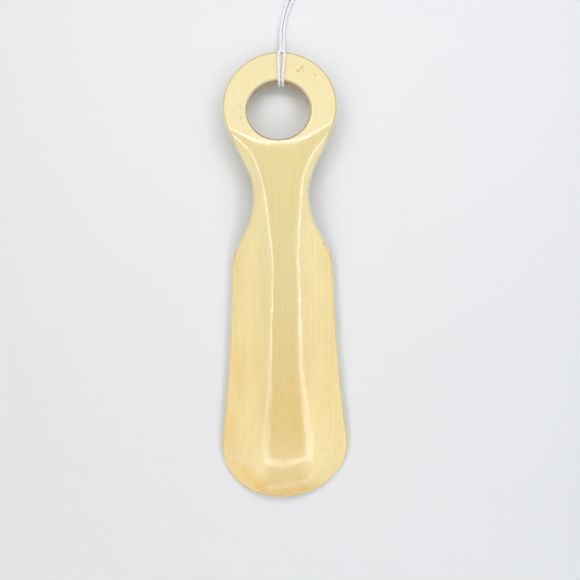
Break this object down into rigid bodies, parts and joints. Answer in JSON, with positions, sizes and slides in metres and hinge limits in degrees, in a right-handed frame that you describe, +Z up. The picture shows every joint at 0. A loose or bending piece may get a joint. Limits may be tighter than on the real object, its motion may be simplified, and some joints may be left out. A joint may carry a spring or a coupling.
{
  "type": "shoehorn",
  "caption": "Short one-piece pressed shoehorn with a finger ring and a cotton string loop hitched to the ring.",
  "frame": {"origin": "centre of the shoehorn's own bounding box, on the table it lies on", "axes": "+Z up, +Y along the shoehorn towards its finger ring, X across the blade; the hollow side of the blade faces down"},
  "size_m": [0.0503, 0.2641, 0.0114],
  "materials": {
    "celluloid": "polished ivory-grained celluloid, yellowed with age",
    "cotton": "soft twisted white cotton string"
  },
  "bodies": {
    "horn": {"horn": "celluloid"},
    "hitch": {"cord_hitch": "cotton"},
    "loop": {"cord_left": "cotton", "cord_right": "cotton", "cord_knot": "cotton"}
  },
  "joints": [
    {"name": "hitch_slide", "type": "hinge", "parent": "horn", "child": "hitch", "pos_m": [-0.0005, 0.0635, 0.00744], "axis": [0, 0.1788, 0.9839], "range_deg": [-80, 80]},
    {"name": "loop_swing", "type": "hinge", "parent": "hitch", "child": "loop", "pos_m": [0.0013, 0.0927, 0.0014], "axis": [1, 0, 0], "range_deg": [0, 95]}
  ]
}
